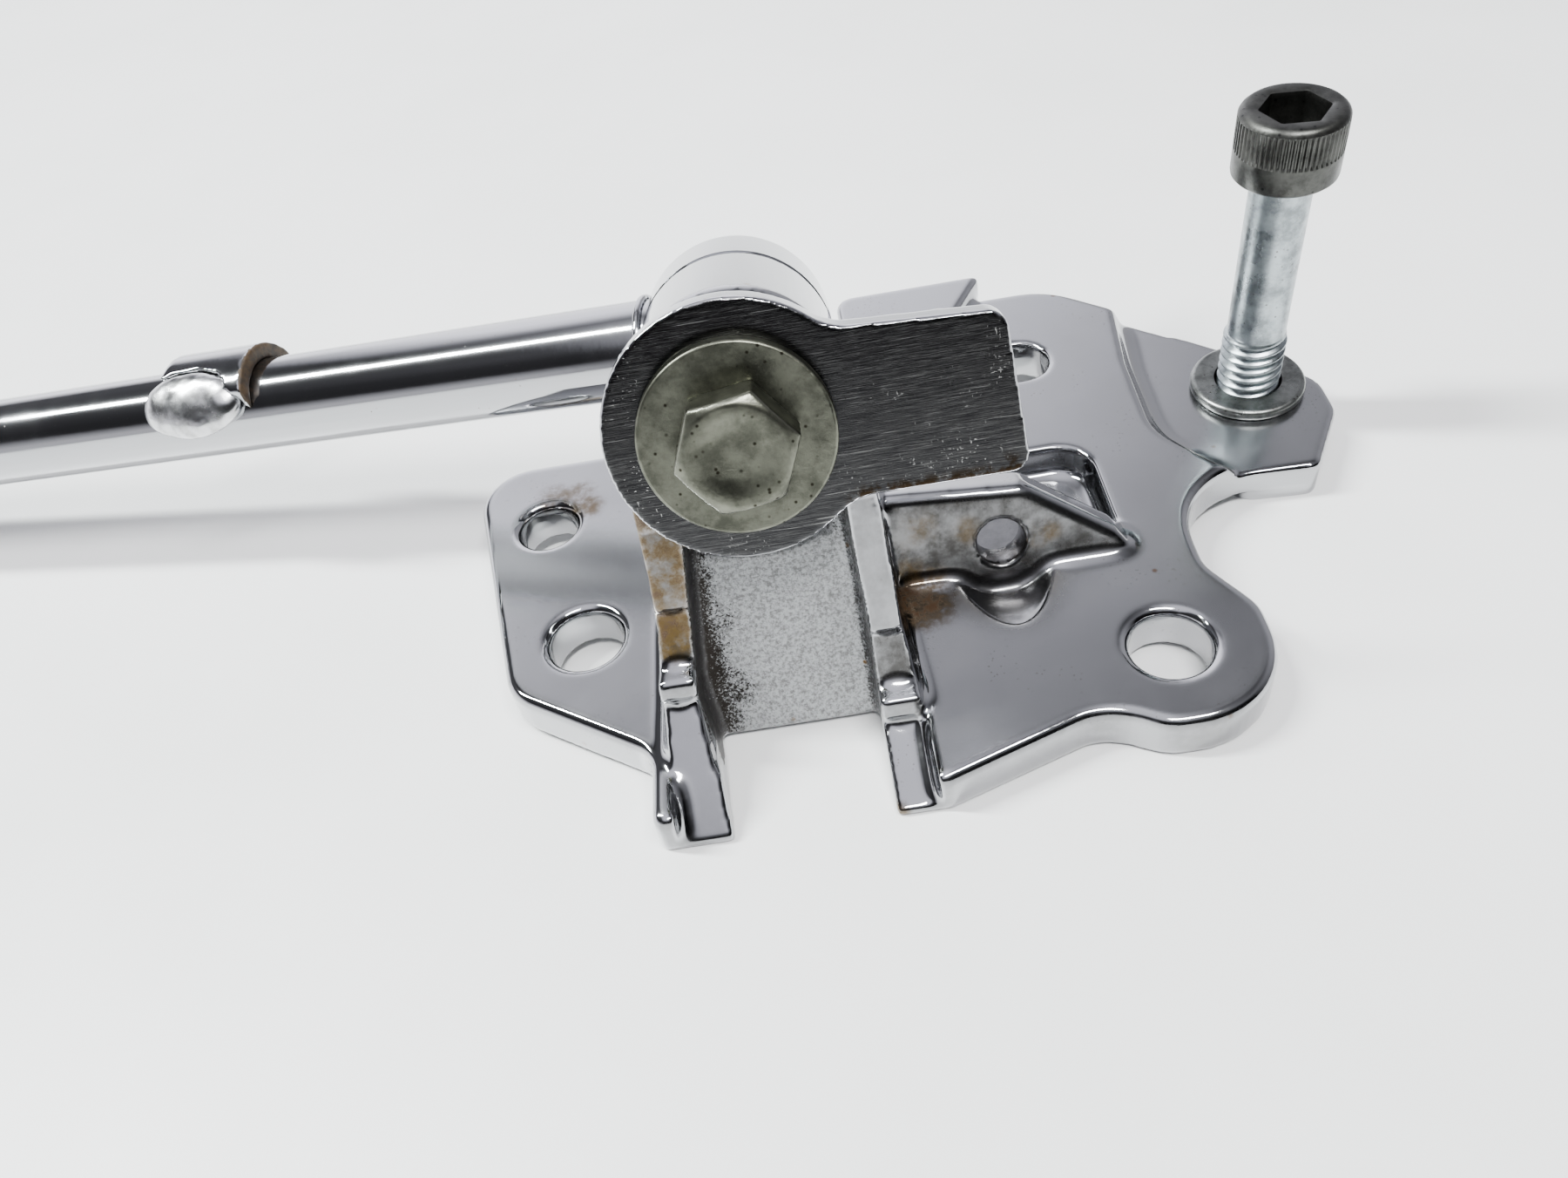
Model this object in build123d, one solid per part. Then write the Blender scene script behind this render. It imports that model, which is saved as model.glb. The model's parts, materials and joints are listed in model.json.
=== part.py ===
from build123d import *
from math import cos, radians, sin
import os

# Motorcycle side stand bracket with its swivelling leg, in millimetres.
# Z is normal to the mounting plate, X runs along the lock channel's lower edge and Y runs from the
# ribs' feet to the pad. The origin is the centre of the right mounting hole on the plate's back face.

# ---- driving dimensions ----
PLATE_THICK = 7.0
PAD_TOP = 4.1                 # top of the stepped pad that carries the loose screw
PAD_BOTTOM = -2.9             # the pad is joggled below the plate's back face
PLATE_ROUND = 1.4             # rounding of the plate's upper edges
HOLE_ROUND = 0.8              # rounding of the mounting holes' mouths
BIG_HOLE_R = 5.4              # clearance for a 3/8 inch bolt with room to align
SMALL_HOLE_R = 4.6
BIG_HOLES = [(0, 0), (-78.7, 16.9)]
SMALL_HOLE = (-85.3, 41.5)
PAD_HOLE = (27.3, 50.3)
PAD_HOLE_R = 5.2
SLOT_CENTRE = (-10.5, 62.4)
SLOT_WIDTH = 9.6
SLOT_LENGTH = 17.6
TAB_TOP = 9.6                 # the raised plateau at the plate's back edge

AXIS_LEAN = 20.7              # the pivot leans this many degrees up from the plate
PIVOT = (-50.3, 5.8, 47.9)    # the pivot's axis at the front face of the stop washer
WASHER_THICK = 2.2
STOP_THICK = 3.1
STOP_BACK = WASHER_THICK + STOP_THICK
THRUST_GAP = 0.1
NOSE = STOP_BACK + 1.0        # depth of the housing's front face behind the washer's front face
RIB_FACE = NOSE - 0.4         # depth of the ribs' front faces
FLOOR_DEPTH = 12.3            # depth of the lock channel's floor
RAMP_BACK = 19.8
HOUSING_BACK = 35.8
HOUSING_R = 13.5
NOSE_R = 12.5                 # the housing steps down to this behind the stop plate
SHOULDER = 15.2               # depth of that step
BUSHING_OUT_R = 9.6
SHAFT_R = 8.0
SHAFT_PLAY = 0.05
BUSHING_LENGTH = 11.0
HUB_FRONT = HOUSING_BACK + 0.9
HUB_BACK = 51.8
LEG_DEPTH = 44.3              # depth of the leg bar's centre line
RAMP_HALF = 13.0              # half of the channel floor's width, let into both ribs
RECESS_R = 19.5               # round recess in the channel's floor, around the housing's nose
RECESS_DEPTH = 1.2

STOP_R = 15.5
FLAG_REACH = 32.8
FLAG_BLEND = 7.0              # hollow corners between the disc and the flag
SQUARE_END = 9.6              # across the flats of the shaft's square end
BOLT_R = 3.97                 # 5/16 inch bolt
HEX_FLATS = 12.7
HEX_HEIGHT = 5.3
STOP_WASHER_R = 11.4

LUG_THICK = 5.7
LUG_FOOT_Y = 17.0             # where the lug's face meets the plate's top
LUG_HOLE = (-18.4, 4.4)       # across, and up the lug's face from the plate's top
LUG_HOLE_R = 3.37              # clearance for a 1/4 inch bolt
LUG_ROUND = 1.7               # rounding along the top of the lug's face
SCOOP_R = 8.0
POCKET_FLOOR = 2.0            # floor of the pocket behind the lug

LEG_R = 7.0
LEG_ALONG = Vector(-0.977, 0.171, -0.094).normalized()
LEG_STRAIGHT = 168.0
LEG_BEND = 220.0
LEG_END = (-272.0, 86.3, 2.8)
REST_TILT = 2.5               # the surface it lies on touches the ribs' feet and the pad
TOE_Y = -15.8
FOOT_HEIGHT = 9.0
TAB_PLACE = 82.8              # the spring tab's middle, along the bar from the pivot's axis
TAB_LENGTH = 15.0
TAB_WALL = 2.4

SCREW_HEAD_R = 7.14           # 3/8 inch socket head cap screw
SCREW_HEAD_HEIGHT = 9.5
SCREW_LENGTH = 44.45          # 1 3/4 inch
SCREW_SHANK_R = 4.25
SCREW_THREAD_R = 4.72
THREAD_PITCH = 25.4 / 16
THREAD_TURNS = 11
SOCKET_FLATS = 7.94
SOCKET_DEPTH = 5.2
PAD_WASHER_R = 8.7
PAD_WASHER_THICK = 1.9

# rib fronts, across and up the slope from the pivot's axis
LEFT_RIB = [(-14.4, 0), (-14.4, -18), (-15.0, -26), (-16.2, -33), (-16.6, -42), (-16.4, -62), (-9.6, -62),
            (-9.6, -52), (-11.6, -36), (-9.3, -15), (-9.2, 0)]
RIGHT_RIB = [(14.2, 0), (15.2, -16), (15.8, -30), (17.1, -42), (18.2, -62), (11.4, -62), (11.5, -31),
             (10.9, -14), (10.9, 0)]
LEFT_BUMP = -33.3             # how far down the slope each rib's bump is
RIGHT_BUMP = -40.9
TOE_RISE = 1.2

UP_SLOPE = (0, sin(radians(AXIS_LEAN)), cos(radians(AXIS_LEAN)))
TOWARDS = (0, -cos(radians(AXIS_LEAN)), sin(radians(AXIS_LEAN)))


def pivot_plane(depth):
    """A plane square to the pivot's axis, this far behind the stop washer's front face."""
    origin = Vector(*PIVOT) - Vector(*TOWARDS) * depth
    return Plane(origin=origin, x_dir=(1, 0, 0), z_dir=TOWARDS)


def disc(radius, front, back, inner=0.0):
    """A round solid, or a ring, about the pivot's axis between two depths."""
    face = Circle(radius) - Circle(inner) if inner else Circle(radius)
    return extrude(pivot_plane(back) * face, back - front)


def side_point(depth, slope):
    """The (y, z) of a point at a depth behind the washer and a distance up the slope."""
    place = Vector(*PIVOT) - Vector(*TOWARDS) * depth + Vector(*UP_SLOPE) * slope
    return place.Y, place.Z


def rounded_outline(corners):
    """A closed face from (x, y, corner radius) triples."""
    places = [(x, y) for x, y, radius in corners]
    return make_face(FilletPolyline(*places, radius=[radius for x, y, radius in corners], close=True))


def side_prism(points, left, right):
    """A solid with a (y, z) outline between two x positions."""
    face = Plane.YZ.offset(left) * make_face(Polyline(*points, close=True))
    return extrude(face, right - left)


def upright_hole(centre, radius):
    return Pos(centre[0], centre[1], PAD_BOTTOM - 1) * extrude(Circle(radius), PLATE_THICK + 6)


def hole_mouth(centre, radius, top):
    """The metal that rounding a hole's mouth takes away, as a cone."""
    return Pos(centre[0], centre[1], top - HOLE_ROUND) * Cone(
        radius, radius + 2 * HOLE_ROUND, 2 * HOLE_ROUND, align=(Align.CENTER, Align.CENTER, Align.MIN))


# ---- bracket ----
def plate():
    outline = rounded_outline([
        (-61.6, 6, 0.5), (-59.9, TOE_Y, 0.8), (-69.6, TOE_Y, 1.5), (-69.4, -4.6, 5), (-89.6, 8.6, 8),
        (-98.2, 56.3, 8), (-34.5, 56.3, 4), (-34.5, 81.6, 3), (2.1, 81.6, 14), (38.6, 49.8, 6),
        (38.4, 42.0, 5), (31.6, 30.6, 1.6), (8.6, 31.6, 13.6), (8.6, 12.8, 6), (13.4, 4.5, 6),
        (13.4, -12.8, 13), (-3.6, -12.8, 8), (-10.6, -8.6, 9), (-31.9, TOE_Y, 2), (-38.9, TOE_Y, 0.8),
        (-38.9, 6, 0.5)])
    solid = extrude(outline, PLATE_THICK)
    solid = fillet(solid.edges().group_by(Axis.Z)[-1], PLATE_ROUND)
    step = rounded_outline([
        (15.5, 90, 1), (11.4, 58, 8), (10.9, 41.5, 9), (17.5, 32.0, 9), (34, 24, 1), (60, 24, 1), (60, 90, 1)])
    solid -= Pos(0, 0, PAD_TOP) * extrude(step, PLATE_THICK, taper=-30)
    below = rounded_outline([
        (17.0, 69.5, 3), (38.6, 49.8, 6), (38.4, 42.0, 5), (31.6, 30.6, 1.6), (21.0, 31.4, 4), (14.5, 44.0, 6)])
    joggle = Pos(0, 0, PAD_BOTTOM) * extrude(below, 4.0 - PAD_BOTTOM)
    solid += fillet(joggle.edges().group_by(Axis.Z)[0], 1.2)
    plateau = rounded_outline([(-34.5, 50, 2), (-34.5, 85.2, 3), (-8.2, 85.2, 1), (-30, 50, 2)])
    tab = extrude(plateau, TAB_TOP)
    solid += fillet(tab.edges().group_by(Axis.Z)[-1], 0.9)
    return solid


def rib(front, bump, toe_rise):
    """One side wall of the channel: toe, raised bump, groove, flat front and a gusset behind.

    The front outline is in the plane square to the pivot's axis, across and up the slope."""
    points = [
        (TOE_Y, 0), (TOE_Y, toe_rise), side_point(RIB_FACE, bump - 2.2), side_point(RIB_FACE - 1.5, bump - 1.6),
        side_point(RIB_FACE - 1.5, bump + 1.0), side_point(RIB_FACE + 1.2, bump + 2.4),
        side_point(RIB_FACE + 1.2, bump + 9.6), side_point(RIB_FACE, bump + 10.8), side_point(RIB_FACE, -4),
        side_point(HOUSING_BACK - 1.5, -4), side_point(HOUSING_BACK - 1.5, -16), (42.0, 12.0), (50.0, 5.0),
        (50.0, 0)]
    side = side_prism(points, PIVOT[0] - 25, PIVOT[0] + 25)
    return side & (pivot_plane(-5) * extrude(make_face(Polyline(*front, close=True)), -75))


def ramp():
    """The channel's floor, from the plate's back face up to the housing."""
    foot = (PIVOT[2] - UP_SLOPE[1] * FLOOR_DEPTH) / UP_SLOPE[2]
    points = [side_point(FLOOR_DEPTH, -foot), side_point(FLOOR_DEPTH, -4), side_point(RAMP_BACK, -4),
              (18.0, 5.0), (18.0, 0)]
    return side_prism(points, PIVOT[0] - RAMP_HALF, PIVOT[0] + RAMP_HALF)


def side_lug(rise):
    """The (y, z) of a point on the middle of the lug's thickness, this far up its face."""
    return LUG_FOOT_Y + LUG_THICK / 2 + UP_SLOPE[1] * rise, PLATE_THICK - 1 + UP_SLOPE[2] * rise


def lug():
    """The drilled ear beside the right rib, standing square to the pivot's axis."""
    face_plane = Plane(origin=(0, LUG_FOOT_Y, PLATE_THICK), x_dir=(1, 0, 0), z_dir=TOWARDS)
    ear = make_face(FilletPolyline((-36, 14.2), (-14.5, 12.4), (-2.2, 3.6), (0.2, 0.4), (0.2, -5.0),
                                   (-36, -5.0), radius=[1, 2, 2, 1.2, 0.5, 0.5], close=True))
    solid = extrude(face_plane * ear, -LUG_THICK)
    places = [(edge, face_plane.to_local_coords(edge @ 0.5)) for edge in solid.edges()]
    top = [edge for edge, place in places if abs(place.Z) < 0.01 and place.Y > 1.0]
    solid = fillet(top, LUG_ROUND)
    bore_plane = face_plane * Pos(LUG_HOLE[0], LUG_HOLE[1], 0)
    bore = bore_plane * Pos(0, 0, -LUG_THICK - 3) * extrude(Circle(LUG_HOLE_R), LUG_THICK + 23)
    scoop = bore_plane * extrude(Circle(SCOOP_R), 24)
    return solid, bore, scoop


def bracket():
    solid = plate()
    # the toes slope down from the bumps to the feet
    for left, right, toe in ((-66.7, -58, LEFT_BUMP), (-40, -33.2, RIGHT_BUMP)):
        start = side_point(RIB_FACE, toe - 2.2)
        solid -= side_prism([(TOE_Y - 1, TOE_RISE), (TOE_Y, TOE_RISE), start, (start[0], 20), (TOE_Y - 1, 20)],
                            left, right)
    solid += rib(LEFT_RIB, LEFT_BUMP, TOE_RISE)
    solid += rib(RIGHT_RIB, RIGHT_BUMP, TOE_RISE)
    solid += ramp()
    ear, bore, scoop = lug()
    solid = solid + ear - scoop
    pocket = rounded_outline([(-26, 20, 1), (-26, 40.4, 4), (-1.0, 40.4, 5.5), (-0.9, 20, 1)])
    solid -= Pos(0, 0, POCKET_FLOOR) * extrude(pocket, PLATE_THICK) - ear - side_prism(
        [(0, 0), (LUG_FOOT_Y, 0), side_lug(0), side_lug(20), (0, 30)], -40, 10)
    # pivot housing with its two bushing seats
    barrel = disc(HOUSING_R, SHOULDER, HOUSING_BACK)
    front_edge = barrel.edges().sort_by(Axis(origin=(0, 0, 0), direction=TOWARDS))[-1]
    solid += fillet(front_edge, 1.0) + disc(NOSE_R, NOSE, SHOULDER + 2)
    recess = disc(RECESS_R, FLOOR_DEPTH - 1, FLOOR_DEPTH + RECESS_DEPTH, inner=NOSE_R)
    solid -= recess & (pivot_plane(FLOOR_DEPTH) * Box(18, 60, 20))
    solid -= disc(SHAFT_R + 0.5, NOSE - 1, HOUSING_BACK + 1)
    solid -= disc(BUSHING_OUT_R, NOSE - 1, NOSE + BUSHING_LENGTH)
    solid -= disc(BUSHING_OUT_R, HOUSING_BACK - BUSHING_LENGTH, HOUSING_BACK + 1)
    # holes
    for centre in BIG_HOLES:
        solid -= upright_hole(centre, BIG_HOLE_R) + hole_mouth(centre, BIG_HOLE_R, PLATE_THICK)
    solid -= upright_hole(SMALL_HOLE, SMALL_HOLE_R) + hole_mouth(SMALL_HOLE, SMALL_HOLE_R, PLATE_THICK)
    solid -= upright_hole(PAD_HOLE, PAD_HOLE_R)
    slot = Pos(SLOT_CENTRE[0], SLOT_CENTRE[1], -1) * extrude(SlotOverall(SLOT_LENGTH, SLOT_WIDTH), 12)
    return solid - bore - slot


def bushings():
    """Two sleeves pressed into the housing, one at each end."""
    inner = SHAFT_R + SHAFT_PLAY
    front = disc(BUSHING_OUT_R, NOSE, NOSE + BUSHING_LENGTH, inner=inner)
    rear = disc(BUSHING_OUT_R, HOUSING_BACK - BUSHING_LENGTH, HOUSING_BACK, inner=inner)
    return front, rear


def mount_washer():
    ring = extrude(Circle(PAD_WASHER_R) - Circle(5.1), PAD_WASHER_THICK)
    outer = ring.edges().filter_by(GeomType.CIRCLE).sort_by(SortBy.RADIUS)[-2:]
    return Pos(PAD_HOLE[0], PAD_HOLE[1], PAD_TOP) * fillet(outer, 0.8)


# ---- leg ----
def pivot_shaft():
    """The shaft through the housing; its square end keys the stop plate."""
    body = disc(SHAFT_R, STOP_BACK, HUB_BACK - 4)
    square_length = STOP_THICK - 0.3
    square = pivot_plane(STOP_BACK) * extrude(RectangleRounded(SQUARE_END, SQUARE_END, 1.2), square_length)
    return body + square - disc(BOLT_R, 0, 30)


def leg_point(distance):
    """A point on the straight part of the leg's centre line, this far from the pivot's axis."""
    return Vector(*PIVOT) - Vector(*TOWARDS) * LEG_DEPTH + LEG_ALONG * distance


def leg_parts():
    """The bar, straight and then gently bent down to its foot, with the foot, the hub and its weld."""
    line = FilletPolyline(leg_point(0), leg_point(LEG_STRAIGHT), Vector(*LEG_END), radius=LEG_BEND)
    bar_whole = sweep(Plane(origin=leg_point(0), z_dir=LEG_ALONG) * Circle(LEG_R), path=line)
    end_tangent = line % 1
    tilt = radians(REST_TILT)
    rest_height = (TOE_Y - LEG_END[1]) * sin(tilt) / cos(tilt)
    foot_plane = Plane(origin=(LEG_END[0] + 4, LEG_END[1], rest_height), x_dir=(end_tangent.X, end_tangent.Y, 0),
                       z_dir=(0, sin(tilt), cos(tilt)))
    foot = foot_plane * extrude(RectangleRounded(38, 26, 11), FOOT_HEIGHT)
    foot = fillet(foot.faces().sort_by(Axis.Z)[-1].edges(), 2.5)
    foot = fillet(foot.faces().sort_by(Axis.Z)[0].edges(), 1.5)
    hub = disc(HOUSING_R, HUB_FRONT, HUB_BACK)
    back_edge = hub.edges().sort_by(Axis(origin=(0, 0, 0), direction=TOWARDS))[0]
    hub = fillet(back_edge, 5.0)
    hub -= disc(SHAFT_R, HUB_FRONT - 1, HUB_BACK - 4)
    bar = bar_whole - disc(HOUSING_R, HUB_FRONT - 1, HUB_BACK + 1)
    weld_plane = Plane(origin=leg_point(HOUSING_R - 0.6), z_dir=LEG_ALONG)
    weld = weld_plane * Torus(LEG_R, 0.7) - hub - bar - disc(SHAFT_R, HUB_FRONT, HUB_BACK)
    return bar, foot - bar, hub, weld


def spring_tab():
    """The bent tab over the bar's top, open towards the hub, and its weld along the front edge."""
    across = Vector(0, 0, 1) - LEG_ALONG * LEG_ALONG.Z
    section = Plane(origin=leg_point(TAB_PLACE), x_dir=across, z_dir=LEG_ALONG)
    wrap = Circle(LEG_R + TAB_WALL) - Circle(LEG_R)
    keep = Pos(7.5, 1.5) * Rectangle(11, 15)
    tab = section * Pos(0, 0, -TAB_LENGTH / 2) * extrude(wrap & keep, TAB_LENGTH)
    bead = scale(Sphere(1), by=(2.7, 5.2, 8.8))
    bead = section * Pos(0, 0, 2.6) * Rot(0, 0, -45) * Pos(LEG_R + 0.6, 0, 0) * bead
    bar = section * Pos(0, 0, -20) * extrude(Circle(LEG_R), 40)
    return tab - bead, bead - bar


def stop_plate():
    """A round plate with a flag on its right, bored square for the shaft's end."""
    flag = rounded_outline([(0, 10.9, 0.5), (31.3, 9.1, 2.6), (FLAG_REACH, -10.1, 2.2), (0, -10.1, 0.5)])
    face = flag + Circle(STOP_R)
    corners = [corner for corner in face.vertices() if 8 < corner.X < 16]
    face = fillet(corners, FLAG_BLEND) - RectangleRounded(SQUARE_END + 0.1, SQUARE_END + 0.1, 1.2)
    solid = extrude(pivot_plane(STOP_BACK) * face, STOP_THICK)
    return solid


def stop_washer():
    ring = disc(STOP_WASHER_R, 0, WASHER_THICK, inner=BOLT_R + 0.3)
    outer = ring.edges().filter_by(GeomType.CIRCLE).sort_by(SortBy.RADIUS)[-2:]
    return fillet(outer, 0.4)


def stop_bolt():
    """A hex head with a chamfered crown and a plain shank down the shaft's middle."""
    head = extrude(RegularPolygon(HEX_FLATS / 2, 6, major_radius=False, rotation=8), HEX_HEIGHT)
    crown = Pos(0, 0, HEX_HEIGHT - 4) * Cone(
        HEX_FLATS / 2 + 6.5, HEX_FLATS / 2 - 0.4, 4, align=(Align.CENTER, Align.CENTER, Align.MIN))
    barrel = extrude(Circle(HEX_FLATS), HEX_HEIGHT - 4)
    head &= crown + barrel
    return pivot_plane(0) * (head + Pos(0, 0, -26) * extrude(Circle(BOLT_R), 26))


# ---- loose screw ----
def mount_screw():
    """A socket head cap screw standing in the pad's hole with its tip level with the pad's bottom."""
    head = Pos(0, 0, SCREW_LENGTH) * extrude(Circle(SCREW_HEAD_R), SCREW_HEAD_HEIGHT)
    head = chamfer(head.edges().group_by(Axis.Z)[-1], 0.7)
    socket = Pos(0, 0, SCREW_LENGTH + SCREW_HEAD_HEIGHT - SOCKET_DEPTH) * extrude(
        RegularPolygon(SOCKET_FLATS / 2, 6, major_radius=False, rotation=20), SOCKET_DEPTH + 1)
    shank = extrude(Circle(SCREW_SHANK_R), SCREW_LENGTH)
    body = head + shank - socket
    half = THREAD_PITCH / 2
    for turn in range(THREAD_TURNS):
        foot = Pos(0, 0, 1.0 + turn * THREAD_PITCH)
        low = Cone(SCREW_SHANK_R - 0.2, SCREW_THREAD_R, half, align=(Align.CENTER, Align.CENTER, Align.MIN))
        high = Cone(SCREW_THREAD_R, SCREW_SHANK_R - 0.2, half, align=(Align.CENTER, Align.CENTER, Align.MIN))
        body += foot * (low + Pos(0, 0, half) * high)
    return Pos(PAD_HOLE[0], PAD_HOLE[1], PAD_BOTTOM) * body


def main():
    os.makedirs("parts", exist_ok=True)
    front_bushing, rear_bushing = bushings()
    leg_rod, leg_foot, leg_hub, hub_weld = leg_parts()
    tab, tab_weld = spring_tab()
    pieces = {
        "mounting_bracket": bracket(),
        "front_bushing": front_bushing,
        "rear_bushing": rear_bushing,
        "thrust_washer": disc(10.2, STOP_BACK + THRUST_GAP, NOSE, inner=SHAFT_R + SHAFT_PLAY),
        "rear_thrust_washer": disc(13.0, HOUSING_BACK, HUB_FRONT - 0.1, inner=SHAFT_R + SHAFT_PLAY),
        "mount_washer": mount_washer(),
        "pivot_shaft": pivot_shaft(),
        "leg_hub": leg_hub,
        "leg_rod": leg_rod,
        "hub_weld": hub_weld,
        "spring_tab": tab,
        "tab_weld": tab_weld,
        "leg_foot": leg_foot,
        "stop_plate": stop_plate(),
        "stop_washer": stop_washer(),
        "stop_bolt": stop_bolt(),
        "mount_screw": mount_screw(),
    }
    for name, shape in pieces.items():
        export_step(shape, f"parts/{name}.step")


main()
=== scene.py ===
import json
import math

import bmesh
import bpy
import numpy as np
from mathutils import Matrix, Vector, noise
from mathutils.bvhtree import BVHTree


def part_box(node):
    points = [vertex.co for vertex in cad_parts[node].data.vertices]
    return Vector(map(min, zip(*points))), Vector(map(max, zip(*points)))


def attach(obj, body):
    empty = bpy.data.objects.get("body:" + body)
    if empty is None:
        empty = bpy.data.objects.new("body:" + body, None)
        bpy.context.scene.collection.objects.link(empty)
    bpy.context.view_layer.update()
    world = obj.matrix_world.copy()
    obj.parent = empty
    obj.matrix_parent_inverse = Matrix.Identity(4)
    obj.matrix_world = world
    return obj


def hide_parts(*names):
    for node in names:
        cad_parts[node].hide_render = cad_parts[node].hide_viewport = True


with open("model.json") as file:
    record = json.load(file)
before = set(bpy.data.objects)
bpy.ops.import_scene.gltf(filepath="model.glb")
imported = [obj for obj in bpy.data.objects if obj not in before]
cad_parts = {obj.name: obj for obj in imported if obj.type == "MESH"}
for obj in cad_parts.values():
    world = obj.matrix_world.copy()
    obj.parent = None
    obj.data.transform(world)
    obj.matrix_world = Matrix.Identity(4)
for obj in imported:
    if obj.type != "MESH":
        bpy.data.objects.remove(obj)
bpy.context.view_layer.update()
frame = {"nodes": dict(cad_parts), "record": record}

MM = 0.001
LEAN = math.radians(20.7)
TOWARDS = Vector((0, -math.cos(LEAN), math.sin(LEAN)))     # along the pivot, out of the stop plate
UP_SLOPE = Vector((0, math.sin(LEAN), math.cos(LEAN)))     # up the lock channel's floor
JOINTS = {joint["name"]: joint for joint in frame["record"]["behaviour"]["joints"]}
PIVOT = Vector(JOINTS["leg_swivel"]["pos_m"])              # the axis at the stop washer's front face
ALONG_LEG = Vector((-0.977, 0.171, -0.094)).normalized()
FLOOR_TILT = math.radians(2.5)                             # it lies on the ribs' feet and the pad
FEET_Y = -15.8 * MM


# ---- node helpers ----
class Shader:
    """A new material with short calls for the nodes that this scene uses."""

    def __init__(self, name):
        self.material = bpy.data.materials.new(name)
        self.material.use_nodes = True
        self.tree = self.material.node_tree
        self.bsdf = self.tree.nodes["Principled BSDF"]

    def add(self, kind, **values):
        node = self.tree.nodes.new(kind)
        for key, value in values.items():
            setattr(node, key, value)
        return node

    def link(self, source, target):
        self.tree.links.new(source, target)

    def value(self, socket, amount):
        if hasattr(amount, "links"):
            self.link(amount, socket)
        else:
            socket.default_value = amount

    def place(self):
        return self.add("ShaderNodeTexCoord").outputs["Object"]

    def stretched(self, scale, turn=(0, 0, 0)):
        mapping = self.add("ShaderNodeMapping")
        mapping.inputs["Scale"].default_value = scale
        mapping.inputs["Rotation"].default_value = turn
        self.link(self.place(), mapping.inputs["Vector"])
        return mapping.outputs["Vector"]

    def noise(self, scale, detail=4.0, rough=0.55, vector=None):
        node = self.add("ShaderNodeTexNoise")
        node.inputs["Scale"].default_value = scale
        node.inputs["Detail"].default_value = detail
        node.inputs["Roughness"].default_value = rough
        self.link(vector or self.place(), node.inputs["Vector"])
        return node.outputs["Fac"]

    def cells(self, scale, vector=None):
        node = self.add("ShaderNodeTexVoronoi")
        node.inputs["Scale"].default_value = scale
        self.link(vector or self.place(), node.inputs["Vector"])
        return node.outputs["Distance"]

    def ramp(self, source, low, high, start=0.0, end=1.0):
        node = self.add("ShaderNodeMapRange")
        node.clamp = True
        node.interpolation_type = "SMOOTHSTEP"
        self.link(source, node.inputs["Value"])
        for key, amount in (("From Min", low), ("From Max", high), ("To Min", start), ("To Max", end)):
            node.inputs[key].default_value = amount
        return node.outputs["Result"]

    def math(self, kind, first, second):
        node = self.add("ShaderNodeMath", operation=kind)
        self.value(node.inputs[0], first)
        self.value(node.inputs[1], second)
        return node.outputs[0]

    def mix(self, amount, first, second):
        node = self.add("ShaderNodeMix", data_type="RGBA")
        self.value(node.inputs[0], amount)
        for socket, colour in ((node.inputs[6], first), (node.inputs[7], second)):
            if hasattr(colour, "links"):
                self.link(colour, socket)
            else:
                socket.default_value = (*colour, 1)
        return node.outputs[2]

    def attribute(self, name):
        return self.add("ShaderNodeAttribute", attribute_name=name).outputs["Fac"]

    def facing(self, direction):
        """How far the surface's own normal points along a direction, from -1 to 1."""
        node = self.add("ShaderNodeVectorMath", operation="DOT_PRODUCT")
        self.link(self.add("ShaderNodeTexCoord").outputs["Normal"], node.inputs[0])
        node.inputs[1].default_value = direction
        return node.outputs["Value"]

    def bump(self, height, distance, strength=1.0):
        node = self.add("ShaderNodeBump")
        node.inputs["Strength"].default_value = strength
        node.inputs["Distance"].default_value = distance
        self.link(height, node.inputs["Height"])
        self.link(node.outputs["Normal"], self.bsdf.inputs["Normal"])

    def surface(self, colour, rough, metal=1.0):
        self.value(self.bsdf.inputs["Metallic"], metal)
        self.value(self.bsdf.inputs["Roughness"], rough)
        socket = self.bsdf.inputs["Base Color"]
        if hasattr(colour, "links"):
            self.link(colour, socket)
        else:
            socket.default_value = (*colour, 1)
        return self.material


# ---- materials ----
CHROME = (0.43, 0.435, 0.45)
RUST = (0.045, 0.020, 0.007)
GOLD = (0.105, 0.068, 0.024)


def leg_chrome():
    """Bright plate with faint haze, pinhole pits and a fine bump."""
    s = Shader("leg_chrome")
    haze = s.ramp(s.noise(90, 5), 0.45, 0.75)
    pits = s.ramp(s.cells(900), 0.05, 0.16, 1.0, 0.0)
    rare = s.ramp(s.noise(160, 2), 0.60, 0.68)
    spots = s.math("MULTIPLY", pits, rare)
    rough = s.math("ADD", s.math("MULTIPLY", haze, 0.05), s.math("ADD", s.math("MULTIPLY", spots, 0.4), 0.09))
    s.bump(s.noise(260, 3), 0.00003, 0.35)
    return s.surface(s.mix(spots, CHROME, (0.20, 0.17, 0.14)), rough)


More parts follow.
